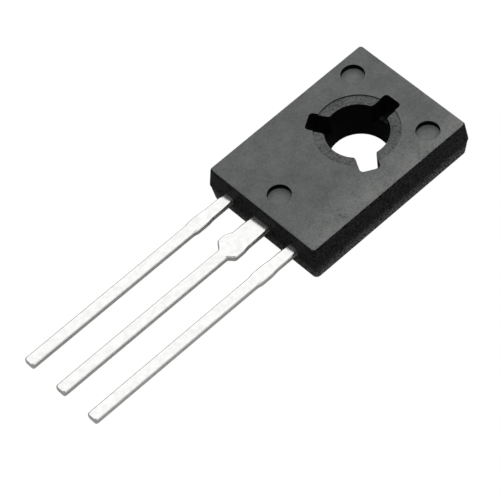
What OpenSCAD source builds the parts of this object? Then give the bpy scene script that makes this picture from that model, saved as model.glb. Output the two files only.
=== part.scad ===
// Power transistor in a flat moulded case with one mounting hole and three leads.
// Millimetres. The origin is the centre of the mounting hole on the back of the case.
// +Z points out of the front face, +Y away from the leads, +X to the right seen from the front.

/* [Case] */
// Width of the case at its parting line
case_w = 7.6; // [7.4:0.05:8.2]
// Length of the case at its parting line, along the leads
case_l = 10.8; // [10.5:0.05:11.4]
// Thickness of the case, from its back to its front face
case_t = 2.45; // [2.4:0.05:3]
// Distance from the hole's centre to the top edge of the case
hole_to_top = 4.05; // [3.8:0.05:4.4]
// Height of the parting line, which is also the back face of the leads
parting_z = 1.2; // [1.1:0.05:1.3]
// Draft of the sides in front of the parting line, in degrees
front_draft = 5.5; // [4:0.5:10]
// Draft of the sides behind the parting line, in degrees
back_draft = 6; // [4:0.5:12]
// Radius of the upright corners where they are sharpest
corner_r = 0.14; // [0.05:0.01:0.3]

/* [Mounting hole] */
// Diameter of the hole behind the slots
hole_d = 3.2; // [3:0.05:3.4]
// Draft of the hole's wall in front of the tab, in degrees
hole_draft = 2; // [0.5:0.5:4]
// Number of slots that the locating pins leave round the hole
slot_count = 3; // [2:1:4]
// Direction of the first slot, in degrees from +X
slot_angle = 90; // [60:15:120]
// Width of a slot
slot_w = 1.05; // [0.7:0.05:1.2]
// Distance from the hole's centre to the end of a slot
slot_reach = 2.58; // [2.3:0.02:2.7]
// Radius of the corners at the end of a slot
slot_corner_r = 0.12; // [0.05:0.01:0.2]
// Radius of the shallow ring round the hole
ring_r = 2.2; // [1.9:0.05:2.3]
// Depth of the shallow ring
ring_depth = 0.08; // [0.04:0.01:0.15]

/* [Ejector marks] */
// Radius of an ejector-pin mark
mark_r = 0.62; // [0.4:0.02:0.7]
// Depth of an ejector-pin mark
mark_depth = 0.32; // [0.1:0.02:0.4]
// Distance from the upper marks to the side edges of the case
mark_side_gap = 1.18; // [1:0.02:1.3]
// Distance from the upper marks to the top edge of the case
mark_top_gap = 1.74; // [1.2:0.02:1.9]
// Distance from the lower mark to the lead end of the case
mark_end_gap = 1.39; // [1.1:0.01:1.7]

/* [Heat-spreading tab] */
// Width of the tab where it is bare on the back
tab_w = 5.4; // [5:0.1:5.8]
// Length of the tab where it is bare on the back
tab_l = 6.8; // [6.4:0.1:7.2]
// Thickness of the tab
tab_t = 1; // [0.9:0.05:1.05]
// Distance from the bare tab to the top edge of the case
tab_top_gap = 1.2; // [1:0.05:1.5]
// Plastic between the wall of the mounting hole and the tab
hole_lining = 0.4; // [0.3:0.05:0.6]
// Reach of the lip that locks the tab into the plastic
lip_reach = 0.3; // [0.1:0.05:0.4]
// Thickness of the locking lip
lip_t = 0.5; // [0.4:0.05:0.6]

/* [Leads] */
// Distance between neighbouring leads
lead_pitch = 2.25; // [2.2:0.01:2.54]
// Thickness of a lead
lead_t = 0.4; // [0.36:0.02:0.5]
// Width of a lead towards its tip
lead_w = 0.58; // [0.5:0.02:0.64]
// Length of a lead outside the case
lead_len = 13.2; // [8:0.1:16]
// Width of an outer lead where it leaves the case
outer_root_w = 0.6; // [0.55:0.01:0.64]
// Width of an outer lead where the dam bar was cut off
outer_dam_w = 0.78; // [0.76:0.02:0.9]
// Distance that an outer lead's swelling lies nearer to the middle lead
outer_dam_shift = 0.03; // [0:0.01:0.05]
// Width of the middle lead where it leaves the case
middle_root_w = 1.1; // [1:0.02:1.14]
// Width of the middle lead where the dam bar was cut off
middle_dam_w = 1.34; // [1.34:0.02:1.5]
// Distance that the middle lead's swelling lies nearer to the emitter lead
middle_dam_shift = 0.06; // [0:0.01:0.08]
// Distance from the case to the start of the dam-bar swelling
dam_start = 1.3; // [1:0.05:1.4]
// Distance from the case to the end of the dam-bar swelling
dam_end = 2.55; // [2.5:0.05:3]
// Length of the slope up to the dam-bar swelling
dam_rise = 0.42; // [0.2:0.02:0.5]
// Angle of the slope down from the dam-bar swelling, in degrees from the lead
dam_fall_angle = 48; // [45:1:60]
// Radius that rounds the corners of the dam-bar swelling
dam_round_r = 0.2; // [0.05:0.01:0.3]
// Distance from the die to the start of the middle lead's step
step_start = 0.8; // [0.6:0.05:1]
// Length of the step that lifts the middle lead to the parting line
step_run = 0.7; // [0.6:0.05:0.8]

/* [Bond pads] */
// Length of a lead inside the case, up to its bond pad
neck_len = 0.9; // [0.6:0.05:1]
// Width of a bond pad
pad_w = 1.5; // [1.2:0.05:1.6]
// Length of a bond pad along the lead
pad_l = 1.1; // [0.9:0.05:1.15]
// Distance that a bond pad is moved from its lead towards the middle
pad_shift = 0.2; // [0:0.05:0.3]

/* [Die and bond wires] */
// Side of the square silicon die
die_w = 1.5; // [1.2:0.05:1.55]
// Thickness of the die
die_t = 0.2; // [0.15:0.01:0.3]
// Distance from the edge of the tab's hole to the die
die_gap = 0.35; // [0.25:0.05:0.4]
// Thickness of the solder under the die
solder_t = 0.05; // [0.03:0.01:0.08]
// Width of the solder that shows round the die
solder_rim = 0.1; // [0.05:0.01:0.15]
// Diameter of the emitter's bond wire
emitter_wire_d = 0.2; // [0.15:0.01:0.25]
// Diameter of the base's bond wire
base_wire_d = 0.15; // [0.12:0.01:0.2]
// Distance from the middle of the die to a bond on it, across the die
bond_x = 0.35; // [0.25:0.01:0.45]
// Height of a bond wire's arch above the line between its two ends
wire_rise = 0.45; // [0.35:0.01:0.5]

/* [Hidden] */
$fn = 96;
// Reach of a cutter past the face that it cuts
past = 0.5;
// Degrees that a bond wire's arc runs on before its ends are cut flat
wire_overrun = 12;
// Steps in the arc of a rounded corner on a lead
arc_steps = 5;

// Places along Y
case_top_y = hole_to_top;
case_end_y = hole_to_top - case_l;
case_mid_y = hole_to_top - case_l / 2;
tab_top_y = hole_to_top - tab_top_gap;
tab_end_y = tab_top_y - tab_l;

// Insets of the two faces from the outline at the parting line
front_inset = (case_t - parting_z) * tan(front_draft);
back_inset = parting_z * tan(back_draft);
parting_corner_r = corner_r + max(front_inset, back_inset);

// The hole, with its draft starting at the front of the tab
hole_r = hole_d / 2;
hole_front_r = hole_r + (case_t - tab_t) * tan(hole_draft);
tab_hole_r = hole_r + hole_lining;

// Heights of the leads, the die and the bonds
lead_front_z = parting_z + lead_t;
die_back_z = tab_t + solder_t;
die_front_z = die_back_z + die_t;
die_y = -tab_hole_r - die_gap - die_w / 2;

// The step of the middle lead, which starts clear of the die
step_rise = parting_z - tab_t + lead_t;
step_bend = lead_t * tan(atan2(step_rise, step_run) / 2);
step_start_y = die_y - die_w / 2 - step_start;
step_end_y = step_start_y - step_run;

// Bond pads, measured from the lead end of the case
pad_x = lead_pitch - pad_shift;
pad_near_y = case_end_y + neck_len;
pad_mid_y = pad_near_y + pad_l / 2;

// Arc that rounds the corner b of the path a, b, c, no longer than half of either side
function rounded(a, b, c, r) =
    let (
        back = (a - b) / norm(a - b),
        ahead = (c - b) / norm(c - b),
        half = acos(max(-1, min(1, back * ahead))) / 2,
        room = min(norm(a - b), norm(c - b)) / 2,
        reach = min(r / tan(half), room),
        radius = reach * tan(half),
        centre = b + (back + ahead) / norm(back + ahead) * radius / sin(half),
        from = b + back * reach - centre,
        to = b + ahead * reach - centre,
        start = atan2(from[1], from[0]),
        turn = atan2(from[0] * to[1] - from[1] * to[0], from * to)
    )
    [for (k = [0 : arc_steps])
        let (angle = start + turn * k / arc_steps)
        centre + radius * [cos(angle), sin(angle)]];

// One edge of a lead outside the case, as points of reach from its middle and distance from the case
function lead_edge(root_w, dam_reach) = [
    [root_w / 2, 0],
    [root_w / 2, dam_start],
    [dam_reach, dam_start + dam_rise],
    [dam_reach, dam_end - (dam_reach - lead_w / 2) / tan(dam_fall_angle)],
    [lead_w / 2, dam_end],
    [lead_w / 2, lead_len]
];

// The same edge with its inner corners rounded
function rounded_edge(edge) = concat(
    [edge[0]],
    [for (k = [1 : len(edge) - 2]) each rounded(edge[k - 1], edge[k], edge[k + 1], dam_round_r)],
    [edge[len(edge) - 1]]
);

// A lead outside the case, lying with its back on the parting line, its swelling shifted along X
module outer_lead_blade(x, root_w, dam_w, dam_shift) {
    right_edge = rounded_edge(lead_edge(root_w, dam_w / 2 + dam_shift));
    left_edge = rounded_edge(lead_edge(root_w, dam_w / 2 - dam_shift));
    right = [for (p = right_edge) [p[0], -p[1]]];
    left = [for (k = [len(left_edge) - 1 : -1 : 0]) [-left_edge[k][0], -left_edge[k][1]]];
    translate([x, case_end_y, parting_z]) linear_extrude(lead_t) polygon(concat(right, left));
}

// One drafted slice of the case between two heights, each with its inset from the parting line
module case_slice(low, low_inset, high, high_inset) {
    flat_x = case_w / 2 - parting_corner_r;
    flat_y = case_l / 2 - parting_corner_r;
    half_x = case_w / 2;
    half_y = case_l / 2;
    low_r = parting_corner_r - low_inset;
    high_r = parting_corner_r - high_inset;
    translate([0, case_mid_y, 0]) {
        rotate([90, 0, 0]) linear_extrude(2 * flat_y, center = true) polygon([
            [low_inset - half_x, low], [half_x - low_inset, low],
            [half_x - high_inset, high], [high_inset - half_x, high]
        ]);
        rotate([90, 0, 90]) linear_extrude(2 * flat_x, center = true) polygon([
            [low_inset - half_y, low], [half_y - low_inset, low],
            [half_y - high_inset, high], [high_inset - half_y, high]
        ]);
        for (x = [-flat_x, flat_x], y = [-flat_y, flat_y])
            translate([x, y, low]) cylinder(h = high - low, r1 = low_r, r2 = high_r);
    }
}

// The solid block of the case: two drafted halves that meet at the parting line
module case_block() {
    case_slice(0, back_inset, parting_z, 0);
    case_slice(parting_z, 0, case_t, front_inset);
}

// Outline of one slot, from the hole's centre to its rounded end
module slot_outline() {
    translate([0, -slot_w / 2]) square([slot_reach - slot_corner_r, slot_w]);
    translate([0, slot_corner_r - slot_w / 2]) square([slot_reach, slot_w - 2 * slot_corner_r]);
    for (side = [-1, 1])
        translate([slot_reach - slot_corner_r, side * (slot_w / 2 - slot_corner_r)]) circle(slot_corner_r);
}

// What the mounting hole takes out of the case: straight wall, drafted wall, slots and shallow ring
module hole_cut() {
    translate([0, 0, -past]) cylinder(h = tab_t + past, r = hole_r);
    translate([0, 0, tab_t]) cylinder(h = case_t - tab_t, r1 = hole_r, r2 = hole_front_r);
    for (k = [0 : slot_count - 1])
        rotate([0, 0, slot_angle + k * 360 / slot_count])
            translate([0, 0, tab_t]) linear_extrude(case_t - tab_t + past) slot_outline();
    translate([0, 0, case_t - ring_depth]) cylinder(h = ring_depth + past, r = ring_r);
}

// The three round marks that the ejector pins leave in the front face
module ejector_marks() {
    upper_x = case_w / 2 - mark_side_gap;
    upper_y = case_top_y - mark_top_gap;
    lower_y = case_end_y + mark_end_gap;
    for (place = [[-upper_x, upper_y], [upper_x, upper_y], [0, lower_y]])
        translate([place[0], place[1], case_t - mark_depth]) cylinder(h = mark_depth + past, r = mark_r);
}

// The moulded epoxy case, with the spaces that the sealed pieces fill
module body() {
    color("#2b2c2c") difference() {
        case_block();
        hole_cut();
        ejector_marks();
        collector_frame();
        emitter_lead();
        base_lead();
        die_solder();
        die();
        emitter_bond_wire();
        base_bond_wire();
    }
}

// The tab: bare on the back, with a lip that the plastic grips and a hole larger than the case's
module tab() {
    difference() {
        union() {
            translate([-tab_w / 2, tab_end_y, 0]) cube([tab_w, tab_l, tab_t]);
            translate([-tab_w / 2 - lip_reach, tab_end_y - lip_reach, tab_t - lip_t])
                cube([tab_w + 2 * lip_reach, tab_l + 2 * lip_reach, lip_t]);
        }
        translate([0, 0, -past]) cylinder(h = tab_t + 2 * past, r = tab_hole_r);
    }
}

// The formed step inside the case that lifts the middle lead from the tab to the parting line
module middle_step() {
    under_die_y = die_y + die_w / 2;
    low = tab_t - lead_t;
    rotate([90, 0, 90]) linear_extrude(middle_root_w, center = true) polygon([
        [under_die_y, low], [under_die_y, tab_t],
        [step_start_y + step_bend, tab_t], [step_end_y + step_bend, lead_front_z],
        [case_end_y, lead_front_z], [case_end_y, parting_z],
        [step_end_y, parting_z], [step_start_y, low]
    ]);
}

// One stamped copper piece: the tab, the step and the middle lead, tin-plated
module collector_frame() {
    color("#d9d9d6") {
        tab();
        middle_step();
        outer_lead_blade(0, middle_root_w, middle_dam_w, -middle_dam_shift);
    }
}

// An outer lead on one side, with its neck and its bond pad inside the case
module side_lead(side) {
    x = side * lead_pitch;
    outer_lead_blade(x, outer_root_w, outer_dam_w, -side * outer_dam_shift);
    translate([x - outer_root_w / 2, case_end_y, parting_z])
        cube([outer_root_w, neck_len + pad_l / 2, lead_t]);
    translate([side * pad_x - pad_w / 2, pad_near_y, parting_z]) cube([pad_w, pad_l, lead_t]);
}

// The left lead and its bond pad
module emitter_lead() {
    color("#d9d9d6") side_lead(-1);
}

// The right lead and its bond pad
module base_lead() {
    color("#d9d9d6") side_lead(1);
}

// The solder layer between the tab and the die
module die_solder() {
    side = die_w + 2 * solder_rim;
    color("#8f9295") translate([-side / 2, die_y - side / 2, tab_t]) cube([side, side, solder_t]);
}

// The silicon die
module die() {
    color("#4a4f57") translate([-die_w / 2, die_y - die_w / 2, die_back_z]) cube([die_w, die_w, die_t]);
}

// An arched wire from the front of the die to the front of a bond pad, cut flat on both
module bond_wire(side, wire_d) {
    start = [side * bond_x, die_y];
    span = [side * pad_x, pad_mid_y] - start;
    run = norm(span);
    climb = lead_front_z - die_front_z;
    chord = norm([run, climb]);
    radius = (chord * chord / 4 + wire_rise * wire_rise) / (2 * wire_rise);
    drop = radius - wire_rise;
    centre_s = run / 2 + drop * climb / chord;
    centre_z = (die_front_z + lead_front_z) / 2 - drop * run / chord;
    pad_turn = atan2(lead_front_z - centre_z, run - centre_s);
    die_turn = atan2(die_front_z - centre_z, -centre_s);
    translate([start[0], start[1], 0]) rotate([0, 0, atan2(span[1], span[0])]) difference() {
        translate([centre_s, 0, centre_z]) rotate([90, 0, 0]) rotate([0, 0, pad_turn - wire_overrun])
            rotate_extrude(angle = die_turn - pad_turn + 2 * wire_overrun)
                translate([radius, 0]) circle(d = wire_d);
        translate([-run, -run, -run]) cube([1.5 * run, 2 * run, run + die_front_z]);
        translate([run / 2, -run, -run]) cube([1.5 * run, 2 * run, run + lead_front_z]);
    }
}

// Wire from the die to the emitter's pad
module emitter_bond_wire() {
    color("#c4c6c8") bond_wire(-1, emitter_wire_d);
}

// Wire from the die to the base's pad
module base_bond_wire() {
    color("#c4c6c8") bond_wire(1, base_wire_d);
}

body();
collector_frame();
emitter_lead();
base_lead();
die_solder();
die();
emitter_bond_wire();
base_bond_wire();
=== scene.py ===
# %% [markdown]
# A power transistor, dressed around its CAD frame
#
# The part is a small power transistor: a flat black case moulded round a copper frame, with a slotted
# mounting hole and three flat leads. The CAD model fixes every size. This lesson builds finer meshes of the
# pieces that show, gives each one the finish of the real material, and sets up the studio.
# Everything is in metres, in the frame of the CAD model: the origin is the middle of the mounting hole on
# the back of the case, +Z comes out of the front face and the leads point to -Y.

# %% Load the frame
from math import atan2, cos, pi, radians, sin, sqrt, tan

import bpy
from mathutils import Matrix, Vector


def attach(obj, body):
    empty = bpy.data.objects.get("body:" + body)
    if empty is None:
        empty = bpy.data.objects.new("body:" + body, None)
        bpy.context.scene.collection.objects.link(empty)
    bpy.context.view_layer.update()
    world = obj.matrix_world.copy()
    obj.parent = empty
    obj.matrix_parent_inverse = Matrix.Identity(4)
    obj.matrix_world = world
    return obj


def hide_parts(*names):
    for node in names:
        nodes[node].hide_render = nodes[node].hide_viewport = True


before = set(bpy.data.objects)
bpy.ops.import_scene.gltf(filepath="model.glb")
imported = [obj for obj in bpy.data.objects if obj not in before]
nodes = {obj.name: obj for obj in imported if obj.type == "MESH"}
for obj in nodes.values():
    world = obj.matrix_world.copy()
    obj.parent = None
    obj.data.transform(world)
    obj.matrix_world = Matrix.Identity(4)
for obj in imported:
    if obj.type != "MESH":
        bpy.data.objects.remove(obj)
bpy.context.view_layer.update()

print("CAD nodes:", sorted(nodes))

# %% [markdown]
# Sizes
#
# The CAD source keeps these sizes in millimetres and this script can't read it, so the ones that the finer
# meshes need are repeated here under the same names. One factor turns them into metres.

# %% Sizes of the part
MM = 0.001

CASE_W, CASE_L, CASE_T = 7.6, 10.8, 2.45
HOLE_TO_TOP = 4.05
PARTING_Z = 1.2
FRONT_DRAFT, BACK_DRAFT = radians(5.5), radians(6)

HOLE_R = 1.6
HOLE_DRAFT = radians(2)
SLOT_COUNT, SLOT_ANGLE = 3, radians(90)
SLOT_W, SLOT_REACH = 1.05, 2.58
RING_R, RING_DEPTH = 2.2, 0.08
MARK_R, MARK_DEPTH = 0.62, 0.32
MARK_PLACES = [(-2.62, 2.31), (2.62, 2.31), (0, -5.36)]

TAB_W, TAB_L, TAB_T = 5.4, 6.8, 1.0
TAB_TOP_Y = 2.85
TAB_HOLE_R = 2.0
LIP_REACH, LIP_T = 0.3, 0.5

LEAD_PITCH, LEAD_T = 2.25, 0.4
LEAD_LEN, LEAD_W = 13.2, 0.58
OUTER_ROOT_W, OUTER_DAM_W = 0.6, 0.78
MIDDLE_ROOT_W, MIDDLE_DAM_W, MIDDLE_DAM_SHIFT = 1.1, 1.34, 0.06
DAM_START, DAM_END, DAM_RISE = 1.3, 2.55, 0.42
DAM_FALL_ANGLE = radians(48)
STEP_NEAR, STEP_RUN = 1.4, 0.7
UNDER_DIE_LEN = 4.4
NECK_LEN, PAD_W, PAD_L, PAD_SHIFT = 0.9, 1.5, 1.1, 0.2

CASE_END_Y = HOLE_TO_TOP - CASE_L
CASE_MID_Y = HOLE_TO_TOP - CASE_L / 2
FRONT_INSET = (CASE_T - PARTING_Z) * tan(FRONT_DRAFT)
BACK_INSET = PARTING_Z * tan(BACK_DRAFT)
print("case", CASE_W, "x", CASE_L, "x", CASE_T, "mm, leads", LEAD_LEN, "mm long")

# %% [markdown]
# Small helpers
#
# Most pieces here are stacks of outlines joined by bands of faces, as a mould maker would loft them. One
# helper makes such a solid, one bakes an object's modifiers into a plain mesh, and one cuts or joins two
# solids with the exact Boolean.

# %% Mesh helpers
COPY_WELD_MM = 0.0005


def solid_from_rings(name, rings):
    """A closed solid through outlines of equal length, given in millimetres from the bottom up."""
    count = len(rings[0])
    points = [Vector(p) * MM for ring in rings for p in ring]
    faces = [list(range(count))[::-1], [len(points) - count + k for k in range(count)]]
    for level in range(len(rings) - 1):
        low, high = level * count, (level + 1) * count
        for k in range(count):
            after = (k + 1) % count
            faces.append([low + k, low + after, high + after, high + k])
    mesh = bpy.data.meshes.new(name)
    mesh.from_pydata(points, [], faces)
    obj = bpy.data.objects.new(name, mesh)
    bpy.context.scene.collection.objects.link(obj)
    return obj


def bake(obj):
    """Turns what an object's modifiers show into its own plain mesh."""
    shown = obj.evaluated_get(bpy.context.evaluated_depsgraph_get())
    mesh = bpy.data.meshes.new_from_object(shown)
    obj.modifiers.clear()
    obj.data = mesh


def combine(obj, tool, operation):
    """Cuts the tool from the object, or joins it on, and removes the tool."""
    modifier = obj.modifiers.new(operation, "BOOLEAN")
    modifier.operation = operation
    modifier.solver = "EXACT"
    modifier.object = tool
    bake(obj)
    bpy.data.objects.remove(tool)


def copy_of(obj):
    """A second object with its own copy of the mesh, its loose triangles merged."""
    twin = bpy.data.objects.new(obj.name + "_copy", obj.data.copy())
    bpy.context.scene.collection.objects.link(twin)
    weld = twin.modifiers.new("weld", "WELD")
    weld.merge_threshold = COPY_WELD_MM * MM
    bake(twin)
    return twin


def circle(radius, z, steps=128, centre=(0, 0)):
    """The points of one circle, in millimetres."""
    return arc(radius, z, 0, 2 * pi, steps, centre)[:-1]


def arc(radius, z, start, end, steps, centre):
    """Points along a part of a circle, both ends included, in millimetres."""
    turns = [start + (end - start) * k / steps for k in range(steps + 1)]
    return [(centre[0] + radius * cos(t), centre[1] + radius * sin(t), z) for t in turns]


def round_edges(obj, width, segments=3, limit=radians(40)):
    """Rounds every edge sharper than the limit by a width in millimetres."""
    bevel = obj.modifiers.new("round", "BEVEL")
    bevel.width = width * MM
    bevel.segments = segments
    bevel.limit_method = "ANGLE"
    bevel.angle_limit = limit
    bake(obj)


def smooth(obj, limit=radians(35)):
    """Shades the curved faces smoothly and keeps flat faces flat."""
    for face in obj.data.polygons:
        face.use_smooth = True
    obj.data.set_sharp_from_angle(angle=limit)
    weighted = obj.modifiers.new("weighted", "WEIGHTED_NORMAL")
    weighted.keep_sharp = True
    bake(obj)


def size_text(obj):
    """Faces and size of a finished piece, for the printed notes."""
    corners = [v.co / MM for v in obj.data.vertices]
    spread = [max(c[k] for c in corners) - min(c[k] for c in corners) for k in range(3)]
    return f"{len(obj.data.polygons)} faces, " + " x ".join(f"{s:.2f}" for s in spread) + " mm"


# %% [markdown]
# Colours and nodes
#
# Colours are picked as sRGB hex values, because that is how they look on a screen, and shaders work in linear
# light, so one function turns the first into the second. Another adds a node to any tree: a value that is a
# socket becomes a link, and anything else is set on the input.

# %% Node helpers
def linear(hex_colour):
    """An sRGB hex colour as linear red, green, blue and full alpha."""
    parts = [int(hex_colour[k:k + 2], 16) / 255 for k in (1, 3, 5)]
    return [c / 12.92 if c <= 0.04045 else ((c + 0.055) / 1.055) ** 2.4 for c in parts] + [1.0]


def add(tree, kind, inputs=None, **settings):
    """Adds one node with its settings, its values and its links."""
    node = tree.nodes.new(kind)
    for key, value in settings.items():
        setattr(node, key, value)
    for socket, value in (inputs or {}).items():
        if isinstance(value, bpy.types.NodeSocket):
            tree.links.new(value, node.inputs[socket])
        else:
            node.inputs[socket].default_value = value
    return node


def new_material(name):
    """An empty material, its tree and its output node."""
    material = bpy.data.materials.new(name)
    material.use_nodes = True
    tree = material.node_tree
    tree.nodes.clear()
    return material, tree, tree.nodes.new("ShaderNodeOutputMaterial")


# %% [markdown]
# Moulding compound
#
# The case is epoxy moulding compound: black resin filled with fine glassy powder, pressed hot into a steel
# mould. The front came from a spark-eroded mould face. That leaves a fine matt skin, which scatters light
# and looks dark grey, with a faint mottle where resin and filler separated, and towards one long edge it is
# painted paler, a painted highlight where the light falls more strongly. The floors of the ejector marks are
# painted slightly paler than the front, painted light against the shade in their recesses. The drafted sides
# have a harder grain but stay black, and the back half is painted paler towards the back, a painted
# reflection of the bright table. The ring round the hole is grainy too, and the walls of the hole, the slots
# and the marks are dull and painted near black, painted shade for their deep recesses.
# One function makes all six finishes, because they are one material with other surfaces. The real grain is
# finer than a pixel, so it is drawn at a tenth of a millimetre to show at all.

# %% Moulding compound as a material
MOTTLE_MM, MOTTLE_DETAIL, MOTTLE_ROUGHNESS = 0.9, 4.0, 0.6
GRAIN_MM, GRAIN_DETAIL, GRAIN_DEPTH_MM = 0.1, 3.0, 0.01
NOISE_MIDDLE, NOISE_LOW, NOISE_HIGH = 0.5, 0.3, 0.7
SPOTS_SPREAD = 0.075
ROUGHNESS_SWING = 0.04


def epoxy(name, dark, light, specular, roughness, grain, painted_band=None):
    """Black moulding compound: a cloudy mottle, a fine grain and, where given, a band painted paler as
    painted light.

    The grain value is the share, the hardness and the depth of the fine grain. A painted band is an axis,
    where it starts and ends along that axis in millimetres, and its paler colour.
    """
    material, tree, output = new_material(name)
    low, high = NOISE_MIDDLE - SPOTS_SPREAD / grain, NOISE_MIDDLE + SPOTS_SPREAD / grain
    place = add(tree, "ShaderNodeTexCoord").outputs["Object"]
    cloud = add(tree, "ShaderNodeTexNoise", {
        "Vector": place, "Scale": 1 / (MOTTLE_MM * MM), "Detail": MOTTLE_DETAIL,
        "Roughness": MOTTLE_ROUGHNESS}).outputs["Fac"]
    fine = add(tree, "ShaderNodeTexNoise", {
        "Vector": place, "Scale": 1 / (GRAIN_MM * MM), "Detail": GRAIN_DETAIL}).outputs["Fac"]
    # Inputs 0, 2 and 3 of a Mix node are its factor and its two numbers
    spots = add(tree, "ShaderNodeMix", {0: grain, 2: cloud, 3: fine}).outputs[0]
    colour = add(tree, "ShaderNodeValToRGB", {"Fac": spots})
    colour.color_ramp.elements[0].position = low
    colour.color_ramp.elements[0].color = linear(dark)
    colour.color_ramp.elements[1].position = high
    colour.color_ramp.elements[1].color = linear(light)
    shade = colour.outputs["Color"]
    if painted_band:
        axis, start, end, paler = painted_band
        across = add(tree, "ShaderNodeSeparateXYZ", {"Vector": place}).outputs[axis]
        margin = add(tree, "ShaderNodeMapRange", {
            "Value": across, "From Min": start * MM, "From Max": end * MM})
        # The painted light follows the grain, so the light spots turn paler than the dark ones
        painted_share = add(tree, "ShaderNodeMapRange", {
            "Value": spots, "From Min": low, "From Max": high, "To Max": margin.outputs["Result"]})
        # Inputs 0, 6 and 7 of a colour Mix node are its factor and its two colours, and output 2 is the mix
        shade = add(tree, "ShaderNodeMix", {0: painted_share.outputs["Result"], 6: shade, 7: linear(paler)},
                    data_type="RGBA").outputs[2]
    rough = add(tree, "ShaderNodeMapRange", {
        "Value": cloud, "From Min": NOISE_LOW, "From Max": NOISE_HIGH,
        "To Min": roughness - ROUGHNESS_SWING, "To Max": roughness + ROUGHNESS_SWING})
    bump = add(tree, "ShaderNodeBump", {
        "Height": fine, "Strength": grain, "Distance": GRAIN_DEPTH_MM * MM})
    skin = add(tree, "ShaderNodeBsdfPrincipled", {
        "Base Color": shade, "Roughness": rough.outputs["Result"],
        "Specular IOR Level": specular, "Normal": bump.outputs["Normal"]})
    tree.links.new(skin.outputs["BSDF"], output.inputs["Surface"])
    return material


print("moulding compound: mottle", MOTTLE_MM, "mm, grain", GRAIN_MM, "mm")

# %% Six finishes of the case
# Paler towards the +X long edge: a painted highlight where the light falls more strongly
epoxy_front = epoxy("moulded_epoxy_matt_front", "#424443", "#595b5a",
                    specular=0.3, roughness=0.5, grain=0.5, painted_band=("X", 1.8, 3.7, "#6e6f6d"))
# The paler colour of the mark floors is painted light against the shade in their recesses
epoxy_marks = epoxy("moulded_epoxy_under_ejector_pins", "#4f5150", "#676968",
                    specular=0.3, roughness=0.5, grain=0.5)
epoxy_sides = epoxy("moulded_epoxy_black_sides", "#000000", "#262626",
                    specular=0.05, roughness=0.4, grain=0.9)
# Paler towards the back: a painted reflection of the bright table, not a worn surface
epoxy_back = epoxy("moulded_epoxy_coarse_back_half", "#000000", "#303030",
                   specular=0.03, roughness=0.45, grain=0.85, painted_band=("Z", 1.1, 0.3, "#727271"))
epoxy_ring = epoxy("moulded_epoxy_coarse_ring", "#303131", "#575958",
                   specular=0.2, roughness=0.6, grain=0.65)
# The near black of the hole, slot and mark walls is painted shade for their deep recesses
epoxy_hole = epoxy("moulded_epoxy_dull_hole_painted_shade", "#020202", "#060606",
                   specular=0.06, roughness=0.6, grain=0.3)
case_finishes = [epoxy_front, epoxy_sides, epoxy_back, epoxy_marks, epoxy_ring, epoxy_hole]
print("epoxy finishes:", [finish.name for finish in case_finishes])

# %% [markdown]
# Tin plating and sheared edges
#
# The frame and the leads are stamped from copper strip that was plated with bright tin. The flat faces keep
# the bright plating, slightly uneven from handling. The narrow edges were sheared by the punch, so they are
# rougher. Both are metals, so their colour is their reflection and the index of refraction stays at its
# default.

# %% Metal finishes
RIPPLE_MM, RIPPLE_DETAIL = 0.7, 2.0
SCUFF_MM, SCUFF_DETAIL = 0.25, 5.0
SCUFF_LOW, SCUFF_HIGH = 0.35, 0.65


def plated(name, dark, light, roughness, unevenness):
    """A metal whose colour, roughness and skin vary a little over a fraction of a millimetre."""
    material, tree, output = new_material(name)
    place = add(tree, "ShaderNodeTexCoord").outputs["Object"]
    wave = add(tree, "ShaderNodeTexNoise", {
        "Vector": place, "Scale": 1 / (RIPPLE_MM * MM), "Detail": RIPPLE_DETAIL}).outputs["Fac"]
    scuff = add(tree, "ShaderNodeTexNoise", {
        "Vector": place, "Scale": 1 / (SCUFF_MM * MM), "Detail": SCUFF_DETAIL}).outputs["Fac"]
    colour = add(tree, "ShaderNodeValToRGB", {"Fac": scuff})
    colour.color_ramp.elements[0].position = SCUFF_LOW
    colour.color_ramp.elements[0].color = linear(dark)
    colour.color_ramp.elements[1].position = SCUFF_HIGH
    colour.color_ramp.elements[1].color = linear(light)
    rough = add(tree, "ShaderNodeMapRange", {
        "Value": scuff, "From Min": NOISE_LOW, "From Max": NOISE_HIGH,
        "To Min": roughness - ROUGHNESS_SWING, "To Max": roughness + ROUGHNESS_SWING})
    bump = add(tree, "ShaderNodeBump", {
        "Height": wave, "Strength": unevenness, "Distance": GRAIN_DEPTH_MM * MM})
    skin = add(tree, "ShaderNodeBsdfPrincipled", {
        "Base Color": colour.outputs["Color"], "Roughness": rough.outputs["Result"], "Metallic": 1.0,
        "Normal": bump.outputs["Normal"]})
    tree.links.new(skin.outputs["BSDF"], output.inputs["Surface"])
    return material


tin = plated("bright_tin_plating_on_copper", "#d4d5d3", "#e0e1df", roughness=0.16, unevenness=0.3)
sheared = plated("sheared_edge_of_tinned_copper", "#e1e1e0", "#ececeb", roughness=0.4, unevenness=0.6)
solder = plated("dull_grey_soft_solder", "#8d9093", "#9da0a3", roughness=0.5, unevenness=0.6)
silicon = plated("polished_silicon_die", "#3f444c", "#484d55", roughness=0.2, unevenness=0.1)
wire = plated("drawn_aluminium_bond_wire", "#c2c4c7", "#cdcfd2", roughness=0.3, unevenness=0.2)
print("metal finishes:", tin.name, sheared.name, solder.name, silicon.name, wire.name)

# %% [markdown]
# The case block
#
# The moulding comes out of two mould halves that meet at the parting line, so its sides lean in both ways
# from there. A cube with tapered ends would need its corners trimmed afterwards. A stack of rounded
# rectangles gives the draft, the corners and the edge radii in one go: each ring is the outline at one
# height, drawn in by its inset. The corners are tightest at the front and grow rounder down to the parting
# line. A hairline step just behind that line is the mismatch of the halves.

# %% Case block
FRONT_EDGE_R, BACK_EDGE_R = 0.13, 0.25
FRONT_CORNER_R, BACK_CORNER_R = 0.16, 0.25
MISMATCH = 0.02
PARTING_INSET = MISMATCH / 4
EDGE_STEPS = 5
CORNER_STEPS = 8


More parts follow.
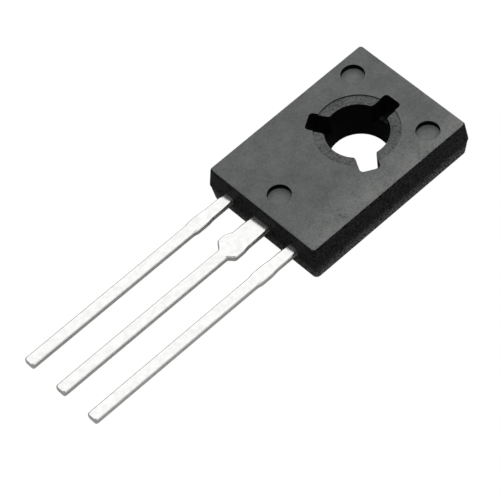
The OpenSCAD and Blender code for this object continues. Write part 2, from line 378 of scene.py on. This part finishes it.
def case_outline(inset, z):
    """The rounded rectangle of the case at one height, drawn in by an inset."""
    forward = max(0, (z - PARTING_Z) / (CASE_T - PARTING_Z))
    corner = BACK_CORNER_R + (FRONT_CORNER_R - BACK_CORNER_R) * forward
    flat_x, flat_y = CASE_W / 2 - inset - corner, CASE_L / 2 - inset - corner
    points = []
    for quarter, (x, y) in enumerate([(1, 1), (-1, 1), (-1, -1), (1, -1)]):
        points += arc(corner, z, pi / 2 * quarter, pi / 2 * (quarter + 1), CORNER_STEPS,
                      (x * flat_x, CASE_MID_Y + y * flat_y))
    return points


def edge_levels(inset, z, radius, way):
    """Insets and heights of a small round from a drafted side, at its inset, over to a flat face."""
    turns = [pi / 2 * k / EDGE_STEPS for k in range(EDGE_STEPS + 1)]
    return [(inset + radius * (1 - cos(t)), z - way * radius * (1 - sin(t))) for t in turns]


levels = edge_levels(BACK_INSET, 0, BACK_EDGE_R, -1)[::-1]
levels += [(MISMATCH, PARTING_Z - MISMATCH), (PARTING_INSET, PARTING_Z), (0, PARTING_Z + MISMATCH)]
levels += edge_levels(FRONT_INSET, CASE_T, FRONT_EDGE_R, 1)
body = solid_from_rings("epoxy_case", [case_outline(inset, z) for inset, z in levels])
print("case block:", size_text(body))

# %% [markdown]
# Locating slots
#
# Three pins in the mould hold the copper frame by the mounting hole while the resin flows, and each leaves a
# slot. Its outline is drawn once: corners at the far end, rounder here than in the CAD model, and a mouth
# that flares into the hole on an arc. It starts inside the hole, where there is nothing to cut. The slots
# repeat round the hole, so Geometry Nodes make the rest: the outline is raised to a prism, set on as many
# points as there are slots and turned by an equal share of a circle. The result is only a cutter.

# %% Outline of one slot
CORNER_COUNT = 6
MOUTH_R, MOUTH_DIP = 0.45, 0.04
END_R = 0.2

arc_y = SLOT_W / 2 + MOUTH_R
arc_x = sqrt((HOLE_R - MOUTH_DIP + MOUTH_R) ** 2 - arc_y ** 2)
upper_side = [(HOLE_R / 2, SLOT_W / 4, TAB_T)]
upper_side += arc(MOUTH_R, TAB_T, atan2(arc_y, arc_x) - pi, -pi / 2, CORNER_COUNT, (arc_x, arc_y))
upper_side += arc(END_R, TAB_T, pi / 2, 0, CORNER_COUNT, (SLOT_REACH - END_R, SLOT_W / 2 - END_R))
lower_side = [(x, -y, z) for x, y, z in upper_side]
slot_points = [Vector(p) * MM for p in lower_side + upper_side[::-1]]
slot_face = bpy.data.meshes.new("slot_outline")
slot_face.from_pydata(slot_points, [], [list(range(len(slot_points)))])
print("slot outline:", len(slot_points), "points")

# %% Prism of one slot, repeated round the hole
WELD_MM = 0.001

slot_tree = bpy.data.node_groups.new("locating_slots", "GeometryNodeTree")
slot_tree.interface.new_socket("Geometry", in_out="INPUT", socket_type="NodeSocketGeometry")
for name in ("Height", "First Angle"):
    slot_tree.interface.new_socket(name, in_out="INPUT", socket_type="NodeSocketFloat")
slot_tree.interface.new_socket("Count", in_out="INPUT", socket_type="NodeSocketInt")
slot_tree.interface.new_socket("Material", in_out="INPUT", socket_type="NodeSocketMaterial")
slot_tree.interface.new_socket("Geometry", in_out="OUTPUT", socket_type="NodeSocketGeometry")
given = add(slot_tree, "NodeGroupInput").outputs
raised = add(slot_tree, "GeometryNodeExtrudeMesh",
             {"Mesh": given["Geometry"], "Offset": (0, 0, 1), "Offset Scale": given["Height"],
              "Individual": False})
under = add(slot_tree, "GeometryNodeFlipFaces", {"Mesh": given["Geometry"]})
joined = add(slot_tree, "GeometryNodeJoinGeometry", {"Geometry": raised.outputs[0]})
slot_tree.links.new(under.outputs[0], joined.inputs[0])
closed = add(slot_tree, "GeometryNodeMergeByDistance",
             {"Geometry": joined.outputs[0], "Distance": WELD_MM * MM})
share = add(slot_tree, "ShaderNodeMath", {0: 2 * pi, 1: given["Count"]}, operation="DIVIDE")
number = add(slot_tree, "GeometryNodeInputIndex")
turn = add(slot_tree, "ShaderNodeMath",
           {0: number.outputs[0], 1: share.outputs[0], 2: given["First Angle"]}, operation="MULTIPLY_ADD")
rotation = add(slot_tree, "ShaderNodeCombineXYZ", {"Z": turn.outputs[0]})
points = add(slot_tree, "GeometryNodeMeshLine", {"Count": given["Count"], "Offset": (0, 0, 0)})
copies = add(slot_tree, "GeometryNodeInstanceOnPoints",
             {"Points": points.outputs[0], "Instance": closed.outputs[0], "Rotation": rotation.outputs[0]})
real = add(slot_tree, "GeometryNodeRealizeInstances", {"Geometry": copies.outputs[0]})
finish = add(slot_tree, "GeometryNodeSetMaterial",
             {"Geometry": real.outputs[0], "Material": given["Material"]})
add(slot_tree, "NodeGroupOutput", {"Geometry": finish.outputs[0]})
print("slot tree:", len(slot_tree.nodes), "nodes")

# %% Slot cutter
PAST = 0.5


def grown(name, mesh, tree, values):
    """An object made by a node tree, whose inputs go in by identifier before the first evaluation."""
    obj = bpy.data.objects.new(name, mesh)
    modifier = obj.modifiers.new(tree.name, "NODES")
    modifier.node_group = tree
    for socket in tree.interface.items_tree:
        if socket.in_out == "INPUT" and socket.name in values:
            modifier[socket.identifier] = values[socket.name]
    bpy.context.scene.collection.objects.link(obj)
    bake(obj)
    return obj


slots = grown("slot_cutter", slot_face, slot_tree, {
    "Height": (CASE_T - TAB_T + PAST) * MM, "First Angle": SLOT_ANGLE, "Count": SLOT_COUNT,
    "Material": epoxy_hole})
print("slot cutter:", size_text(slots))

# %% [markdown]
# Hole, ring and ejector marks
#
# The mounting hole is straight where the copper frame surrounds it and opens with a slight draft in front of
# that, and a shallow ring surrounds its mouth. All three share one axis, so one turned cutter holds them. The
# ejector pins that push the case out of the mould leave three round marks in the front face. After the cuts,
# a narrow bevel rounds every rim, because no moulded edge is perfectly sharp.

# %% Cuts in the case
RIM_R = 0.035
MARK_STEPS = 72

ring_z = CASE_T - RING_DEPTH
hole_front_r = HOLE_R + (ring_z - TAB_T) * tan(HOLE_DRAFT)
hole = solid_from_rings("hole_cutter", [
    circle(HOLE_R, -PAST), circle(HOLE_R, TAB_T), circle(hole_front_r, ring_z),
    circle(RING_R, ring_z), circle(RING_R, CASE_T + PAST)])
combine(body, hole, "DIFFERENCE")
combine(body, slots, "DIFFERENCE")
for place in MARK_PLACES:
    mark = solid_from_rings("mark_cutter", [
        circle(MARK_R, z, MARK_STEPS, place) for z in (CASE_T - MARK_DEPTH, CASE_T + PAST)])
    combine(body, mark, "DIFFERENCE")
round_edges(body, RIM_R)
print("case with its cuts:", size_text(body))

# %% [markdown]
# Leads
#
# Each lead is a flat strip whose two edges follow a rule along its length: a bond pad inside the case, a
# neck, a swelling where the dam bar between the leads was cut away, and the slim blade to the tip. On the
# middle lead the swelling is large and reaches further on one side, and inside the case it steps down to the
# tab. A strip with a rule is a good job for Geometry Nodes: a rectangle with rounded corners is swept along
# a line, and its two edges are then moved apart by what the rule gives for their distance from the case.
# Moving them keeps the rounding of the edges, which scaling would stretch. Each rule value is a vector that
# holds the left edge in X and the right edge in Y, so one node works on both. One tree makes all three leads.

# %% Inputs of the lead tree
lead_tree = bpy.data.node_groups.new("stamped_lead", "GeometryNodeTree")
lead_tree.interface.new_socket("Geometry", in_out="INPUT", socket_type="NodeSocketGeometry")
for name in ("Inside Length", "Outside Length", "Blade Width", "Thickness", "Edge Radius",
             "Middle Height", "Case End", "Middle", "Tip Start", "Tip Trim", "Pad Start", "Step Far",
             "Step Near", "Step Drop"):
    lead_tree.interface.new_socket(name, in_out="INPUT", socket_type="NodeSocketFloat")
for name in ("Root Extra", "Dam Extra", "Pad Extra", "Rise From", "Rise To", "Fall From", "Fall To"):
    lead_tree.interface.new_socket(name, in_out="INPUT", socket_type="NodeSocketVector")
lead_tree.interface.new_socket("Rows", in_out="INPUT", socket_type="NodeSocketInt")
lead_tree.interface.new_socket("Material", in_out="INPUT", socket_type="NodeSocketMaterial")
lead_tree.interface.new_socket("Geometry", in_out="OUTPUT", socket_type="NodeSocketGeometry")
given = add(lead_tree, "NodeGroupInput").outputs
print("lead tree:", len(given) - 1, "inputs")

# %% A rounded section swept from the tip to the inner end
tip_y = add(lead_tree, "ShaderNodeMath", {0: given["Outside Length"], 1: -1.0}, operation="MULTIPLY")
tip = add(lead_tree, "ShaderNodeCombineXYZ", {"Y": tip_y.outputs[0]})
inner_end = add(lead_tree, "ShaderNodeCombineXYZ", {"Y": given["Inside Length"]})
line = add(lead_tree, "GeometryNodeCurvePrimitiveLine",
           {"Start": tip.outputs[0], "End": inner_end.outputs[0]})
rows = add(lead_tree, "GeometryNodeResampleCurve", {"Curve": line.outputs[0], "Count": given["Rows"]})
section = add(lead_tree, "GeometryNodeCurvePrimitiveQuadrilateral",
              {"Width": given["Blade Width"], "Height": given["Thickness"]})
eased = add(lead_tree, "GeometryNodeFilletCurve",
            {"Curve": section.outputs[0], "Count": CORNER_COUNT, "Radius": given["Edge Radius"]},
            mode="POLY")
bar = add(lead_tree, "GeometryNodeCurveToMesh",
          {"Curve": rows.outputs[0], "Profile Curve": eased.outputs[0], "Fill Caps": True})
print("lead section:", len(lead_tree.nodes), "nodes")

# %% The rule for both edges
# Inputs 6 to 10 of a Map Range node are its vector, the range it comes from and the range it goes to
spot = add(lead_tree, "GeometryNodeInputPosition")
here = add(lead_tree, "ShaderNodeSeparateXYZ", {"Vector": spot.outputs[0]}).outputs
along = add(lead_tree, "ShaderNodeMath", {0: here["Y"], 1: -1.0}, operation="MULTIPLY").outputs[0]
both = add(lead_tree, "ShaderNodeCombineXYZ", {"X": along, "Y": along})
rise = add(lead_tree, "ShaderNodeMapRange",
           {6: both.outputs[0], 7: given["Rise From"], 8: given["Rise To"], 9: given["Root Extra"],
            10: given["Dam Extra"]}, data_type="FLOAT_VECTOR", interpolation_type="SMOOTHSTEP")
fall = add(lead_tree, "ShaderNodeMapRange",
           {6: both.outputs[0], 7: given["Fall From"], 8: given["Fall To"], 9: (1, 1, 1), 10: (0, 0, 0)},
           data_type="FLOAT_VECTOR", interpolation_type="SMOOTHSTEP")
swelling = add(lead_tree, "ShaderNodeVectorMath", {0: rise.outputs[1], 1: fall.outputs[1]},
               operation="MULTIPLY")
in_pad = add(lead_tree, "ShaderNodeMath", {0: along, 1: given["Pad Start"]}, operation="LESS_THAN")
shape = add(lead_tree, "GeometryNodeSwitch",
            {"Switch": in_pad.outputs[0], "False": swelling.outputs[0], "True": given["Pad Extra"]},
            input_type="VECTOR")
trim = add(lead_tree, "ShaderNodeMapRange",
           {"Value": along, "From Min": given["Tip Start"], "From Max": given["Outside Length"],
            "To Min": 0.0, "To Max": given["Tip Trim"]})
extra = add(lead_tree, "ShaderNodeVectorMath", {0: shape.outputs[0], 1: trim.outputs["Result"]},
            operation="SUBTRACT")
edges = add(lead_tree, "ShaderNodeSeparateXYZ", {"Vector": extra.outputs[0]}).outputs
print("lead rule:", len(lead_tree.nodes), "nodes")

# %% Each point moved to its place
left = add(lead_tree, "ShaderNodeMath", {0: edges["X"], 1: -1.0}, operation="MULTIPLY")
on_right = add(lead_tree, "ShaderNodeMath", {0: here["X"], 1: 0.0}, operation="GREATER_THAN")
sideways = add(lead_tree, "GeometryNodeSwitch",
               {"Switch": on_right.outputs[0], "False": left.outputs[0], "True": edges["Y"]},
               input_type="FLOAT")
drop = add(lead_tree, "ShaderNodeMapRange",
           {"Value": along, "From Min": given["Step Far"], "From Max": given["Step Near"],
            "To Min": given["Step Drop"], "To Max": 0.0})
shift_x = add(lead_tree, "ShaderNodeMath", {0: sideways.outputs[0], 1: given["Middle"]}, operation="ADD")
shift_z = add(lead_tree, "ShaderNodeMath", {0: drop.outputs["Result"], 1: given["Middle Height"]},
              operation="ADD")
shift = add(lead_tree, "ShaderNodeCombineXYZ",
            {"X": shift_x.outputs[0], "Y": given["Case End"], "Z": shift_z.outputs[0]})
strip = add(lead_tree, "GeometryNodeSetPosition",
            {"Geometry": bar.outputs[0], "Offset": shift.outputs[0]})
real = add(lead_tree, "GeometryNodeRealizeInstances", {"Geometry": strip.outputs[0]})
finish = add(lead_tree, "GeometryNodeSetMaterial",
             {"Geometry": real.outputs[0], "Material": given["Material"]})
add(lead_tree, "NodeGroupOutput", {"Geometry": finish.outputs[0]})
print("lead tree:", len(lead_tree.nodes), "nodes")

# %% [markdown]
# Three leads from one tree
#
# The numbers for both edges come from the same sizes as in the CAD source: the swelling's width and shift
# give what each edge has beyond the slim blade, and the angle of the slope gives where it starts to fall.
# Rise and fall start a little early and end a little late, because the tree eases in and out of them. The
# long edges are rounded by the punch and the plating. Rounding takes a little off the outline, so the blade
# is drawn slightly wider to give it back. The tip was cut off last: its corners are trimmed, and a smaller
# bevel rounds it. The swellings of the outer leads are the same on both sides.

# %% Three leads
STAMPED_EDGE_R, TIP_R = 0.13, 0.05
TIP_LEN, TIP_TRIM, TIP_LIMIT = 0.07, 0.05, radians(60)
ROUND_GAIN = 0.08
ROW_MM = 0.06
EASE = 0.06
OUTER_SOFT, MIDDLE_SOFT = 0.16, 0.04
STEP_DROP = TAB_T - LEAD_T - PARTING_Z


def lead(name, middle, inside, root_w, dam_w, dam_shift, soft, **inner):
    """One lead from the tree, with sizes in millimetres and rows of points close along it."""
    blade = LEAD_W + ROUND_GAIN
    root = (root_w - LEAD_W) / 2
    dam = [(dam_w - blade) / 2 - dam_shift, (dam_w - blade) / 2 + dam_shift]
    rise_from, rise_to = DAM_START - EASE, DAM_START + DAM_RISE + EASE
    fall_from = [DAM_END - side / tan(DAM_FALL_ANGLE) - soft for side in dam]
    sizes = {
        "Inside Length": inside, "Outside Length": LEAD_LEN, "Blade Width": blade, "Thickness": LEAD_T,
        "Tip Start": LEAD_LEN - TIP_LEN, "Tip Trim": TIP_TRIM, "Edge Radius": STAMPED_EDGE_R,
        "Middle Height": PARTING_Z + LEAD_T / 2, "Case End": CASE_END_Y, "Middle": middle,
        "Root Extra": (root, root, 0), "Dam Extra": (*dam, 0),
        "Rise From": (rise_from, rise_from, 0), "Rise To": (rise_to, rise_to, 0),
        "Fall From": (*fall_from, 0), "Fall To": (DAM_END + soft, DAM_END + soft, 0),
        **{key.replace("_", " "): value for key, value in inner.items()}}
    values = {key: tuple(Vector(size) * MM) if isinstance(size, tuple) else size * MM
              for key, size in sizes.items()}
    values.update({"Rows": round((inside + LEAD_LEN) / ROW_MM) + 1, "Material": tin})
    obj = grown(name, bpy.data.meshes.new(name), lead_tree, values)
    round_edges(obj, TIP_R, limit=TIP_LIMIT)
    print(name, size_text(obj))
    return obj


pad_side = (PAD_W - LEAD_W - ROUND_GAIN) / 2
pad_wide, pad_narrow = pad_side + PAD_SHIFT, pad_side - PAD_SHIFT
emitter = lead("tinned_emitter_lead", -LEAD_PITCH, NECK_LEN + PAD_L, OUTER_ROOT_W, OUTER_DAM_W, 0,
               OUTER_SOFT, Pad_Start=-NECK_LEN, Pad_Extra=(pad_narrow, pad_wide, 0))
base = lead("tinned_base_lead", LEAD_PITCH, NECK_LEN + PAD_L, OUTER_ROOT_W, OUTER_DAM_W, 0,
            OUTER_SOFT, Pad_Start=-NECK_LEN, Pad_Extra=(pad_wide, pad_narrow, 0))
# The middle lead has no pad, so its pad would start beyond its inner end
collector = lead("tinned_collector_frame", 0, UNDER_DIE_LEN, MIDDLE_ROOT_W, MIDDLE_DAM_W + ROUND_GAIN,
                 -MIDDLE_DAM_SHIFT, MIDDLE_SOFT, Pad_Start=-2 * UNDER_DIE_LEN, Step_Far=-STEP_NEAR - STEP_RUN,
                 Step_Near=-STEP_NEAR, Step_Drop=STEP_DROP)

# %% [markdown]
# Heat-spreading tab
#
# The tab is the thick end of the collector's copper. Its back is bare and lies on the heat sink, a thin lip
# round its front half locks it into the plastic, and its hole is wider than the screw's so that plastic lines
# it. It is built from three plain solids and joined to the middle lead, because the real frame is one piece.

# %% Tab and collector frame
def slab(name, half_x, low_y, high_y, low_z, high_z):
    """A rectangular block given by its edges in millimetres."""
    corners = [(half_x, low_y), (half_x, high_y), (-half_x, high_y), (-half_x, low_y)]
    return solid_from_rings(name, [[(x, y, z) for x, y in corners] for z in (low_z, high_z)])


tab_end_y = TAB_TOP_Y - TAB_L
tab = slab("tab", TAB_W / 2, tab_end_y, TAB_TOP_Y, 0, TAB_T)
lip = slab("lip", TAB_W / 2 + LIP_REACH, tab_end_y - LIP_REACH, TAB_TOP_Y + LIP_REACH, TAB_T - LIP_T, TAB_T)
combine(tab, lip, "UNION")
combine(tab, solid_from_rings("tab_hole", [circle(TAB_HOLE_R, -PAST), circle(TAB_HOLE_R, TAB_T + PAST)]),
        "DIFFERENCE")
combine(collector, tab, "UNION")
print("collector frame:", size_text(collector))

# %% [markdown]
# Fitting the case round the metal
#
# The resin flowed round the frame, so the case has a space of exactly the shape of every piece inside it. A
# copy of each piece cuts that space.

# %% Spaces in the case
for obj in (collector, emitter, base):
    combine(body, copy_of(obj), "DIFFERENCE")
for name in ("die_solder", "die", "emitter_bond_wire", "base_bond_wire"):
    combine(body, copy_of(nodes[name]), "DIFFERENCE")
print("case round its pieces:", size_text(body))

# %% [markdown]
# Finishes on the faces
#
# Which finish a face gets follows from how it was made: the front of the case, the floors of the marks and
# of the ring, the walls of the hole and the marks, the drafted sides and the back half of the moulding; the
# flat faces of the strip, and its sheared edges. Where a face lies and which way it points tell them apart.

# %% Assign the finishes
FRONT_TILT = radians(32)
SHEARED_TILT = radians(75)


def give(obj, finishes, choose):
    """Sets the object's finishes and picks one for each face by its middle and its direction."""
    obj.data.materials.clear()
    for finish in finishes:
        obj.data.materials.append(finish)
    for face in obj.data.polygons:
        face.material_index = choose(face.center / MM, face.normal)


def case_finish(middle, way):
    """Front, marks or ring on what faces forward, dull with painted shade on inner walls, then sides or back
    half.
    """
    if way.z > cos(FRONT_TILT) and middle.z > CASE_T - MARK_DEPTH - RIM_R:
        # Mark floors get the paler finish, painted light against the shade of the recesses
        if middle.z < CASE_T - MARK_DEPTH / 2:
            return case_finishes.index(epoxy_marks)
        in_ring = middle.xy.length < RING_R and middle.z < CASE_T - RING_DEPTH / 2
        return case_finishes.index(epoxy_ring if in_ring else epoxy_front)
    # The walls of the hole, the slots and the marks get the near-black finish that paints their shade
    in_hole = middle.xy.length < SLOT_REACH + END_R and middle.z > 0
    in_mark = any((middle.xy - Vector(place)).length < MARK_R + RIM_R for place in MARK_PLACES)
    if in_hole or in_mark and middle.z > CASE_T - MARK_DEPTH:
        return case_finishes.index(epoxy_hole)
    return case_finishes.index(epoxy_sides if middle.z > PARTING_Z else epoxy_back)


def strip_finish(middle, way):
    """Plating on the flat faces of the strip, the sheared finish on its narrow edges."""
    return 0 if abs(way.z) > cos(SHEARED_TILT) else 1


give(body, case_finishes, case_finish)
for obj in (collector, emitter, base):
    give(obj, [tin, sheared], strip_finish)
for obj in (body, collector, emitter, base):
    smooth(obj)
for name, finish in (("die_solder", solder), ("die", silicon), ("emitter_bond_wire", wire),
                     ("base_bond_wire", wire)):
    nodes[name].data.materials.clear()
    nodes[name].data.materials.append(finish)
print("finishes set on", len(nodes), "pieces")

# %% [markdown]
# Joining the frame
#
# Each finer mesh rides on the part's one body and stands for its CAD solid, which is hidden. The four sealed
# pieces keep their CAD meshes.

# %% Ride on the frame
for obj, node, slot in ((body, "body", "moulded_epoxy"), (collector, "collector_frame", "tinned_copper"),
                        (emitter, "emitter_lead", "tinned_copper"), (base, "base_lead", "tinned_copper")):
    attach(obj, "root")
    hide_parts(node)
    print(obj.name, "stands for", node)

# %% [markdown]
# Table
#
# The part lies on a plain white table without a shadow, as in a catalogue picture that was cut out on white.
# The dark sides of the case show that the real table was grey and that it was dimmer beside the part. So the
# table glows white where the camera looks straight at it, and is a grey sheet, shaded by the part, to all
# other light.

# %% Table
TABLE_SIDE, TABLE_Z = 2.0, -0.02 * MM
TABLE_GREY = "#9a9a99"
WHITE = "#ffffff"

half = TABLE_SIDE / 2
table_mesh = bpy.data.meshes.new("white_table")
table_mesh.from_pydata([(-half, -half, TABLE_Z), (half, -half, TABLE_Z), (half, half, TABLE_Z),
                        (-half, half, TABLE_Z)], [], [(0, 1, 2, 3)])
table = bpy.data.objects.new("white_table", table_mesh)
bpy.context.scene.collection.objects.link(table)
glow, tree, output = new_material("plain_white_table")
ray = add(tree, "ShaderNodeLightPath").outputs["Is Camera Ray"]
sheet = add(tree, "ShaderNodeBsdfDiffuse", {"Color": linear(TABLE_GREY)})
lamp = add(tree, "ShaderNodeEmission", {"Color": linear(WHITE), "Strength": 1.0})
# Inputs 0, 1 and 2 of a Mix Shader node are its factor and its two shaders
seen = add(tree, "ShaderNodeMixShader", {0: ray, 1: sheet.outputs[0], 2: lamp.outputs[0]})
tree.links.new(seen.outputs[0], output.inputs["Surface"])
table.data.materials.append(glow)
print("table", TABLE_SIDE, "m wide, white to the camera and grey to the part")

# %% [markdown]
# Light
#
# One large softbox hangs behind the part and leans over it: it is what the bright leads mirror. A card on
# either side fills the rounded edges of the leads, one in front keeps the leads bright from behind, and a
# soft lamp straight above lights the front down into its marks. That lamp is kept out of reflections, as a
# real one is by polarising sheets. The room is a dim grey to the part and white to the camera, like the
# table. Colours go to the screen as they are, without a film look, so white stays white.

# %% Softboxes and room
PART_MIDDLE = Vector((0, -8, 1)) * MM
LIGHT_DISTANCE = 0.3
ROOM_LIGHT = 0.18


def softbox(name, way, side, radiance):
    """A square soft light that looks at the part from a direction, as bright as its radiance."""
    way = Vector(way).normalized()
    light = bpy.data.lights.new(name, "AREA")
    light.size = side
    light.energy = radiance * pi * side ** 2
    obj = bpy.data.objects.new(name, light)
    obj.location = PART_MIDDLE + way * LIGHT_DISTANCE
    obj.rotation_euler = way.to_track_quat("Z", "Y").to_euler()
    bpy.context.scene.collection.objects.link(obj)
    print(name, round(light.energy, 2), "W")
    return obj


softbox("softbox_behind", (-0.3, 0.6, 0.74), side=0.56, radiance=1.18)
softbox("card_right", (0.85, 0.3, 0.45), side=0.4, radiance=0.8)
softbox("card_left", (-0.95, 0.3, 0.2), side=0.3, radiance=0.4)
softbox("card_front", (0.1, -0.9, 0.4), side=0.5, radiance=0.55)
above = softbox("lamp_above", (0.1, -0.05, 1), side=0.2, radiance=1.9)
above.visible_glossy = False
world = bpy.data.worlds.new("grey_room")
bpy.context.scene.world = world
world.use_nodes = True
tree = world.node_tree
tree.nodes.clear()
ray = add(tree, "ShaderNodeLightPath").outputs["Is Camera Ray"]
strength = add(tree, "ShaderNodeMapRange", {"Value": ray, "To Min": ROOM_LIGHT, "To Max": 1.0})
walls = add(tree, "ShaderNodeBackground",
            {"Color": linear(WHITE), "Strength": strength.outputs["Result"]})
add(tree, "ShaderNodeOutputWorld", {"Surface": walls.outputs[0]})
bpy.context.scene.view_settings.view_transform = "Standard"

# %% [markdown]
# Camera
#
# The camera stands where the photograph was taken from: its direction, its roll and its long lens were worked
# out from the straight edges of the case and the leads.

# %% Camera
CAMERA_AZ, CAMERA_EL, CAMERA_ROLL = radians(53.06), radians(54.68), radians(-8.43)
LOOK_AT = Vector((0.615, -8.081, 1.2)) * MM
CAMERA_DISTANCE, NEAREST_SEEN = 150.2 * MM, 1 * MM
FOCAL_PIXELS, FRAME_PIXELS, SENSOR_MM = 3089.3, 500, 36.0

away = Vector((sin(CAMERA_AZ) * cos(CAMERA_EL), -cos(CAMERA_AZ) * cos(CAMERA_EL), sin(CAMERA_EL)))
right = Vector((cos(CAMERA_AZ), sin(CAMERA_AZ), 0))
up = away.cross(right)
across = right * cos(CAMERA_ROLL) + up * sin(CAMERA_ROLL)
upward = up * cos(CAMERA_ROLL) - right * sin(CAMERA_ROLL)
camera_data = bpy.data.cameras.new("catalogue_camera")
camera_data.sensor_width = SENSOR_MM
camera_data.lens = FOCAL_PIXELS / FRAME_PIXELS * SENSOR_MM
camera_data.clip_start = NEAREST_SEEN
camera = bpy.data.objects.new("catalogue_camera", camera_data)
turned = Matrix((across, upward, away)).transposed().to_4x4()
camera.matrix_world = Matrix.Translation(LOOK_AT + away * CAMERA_DISTANCE) @ turned
bpy.context.scene.collection.objects.link(camera)
bpy.context.scene.camera = camera
print("camera lens", round(camera_data.lens, 1), "mm")
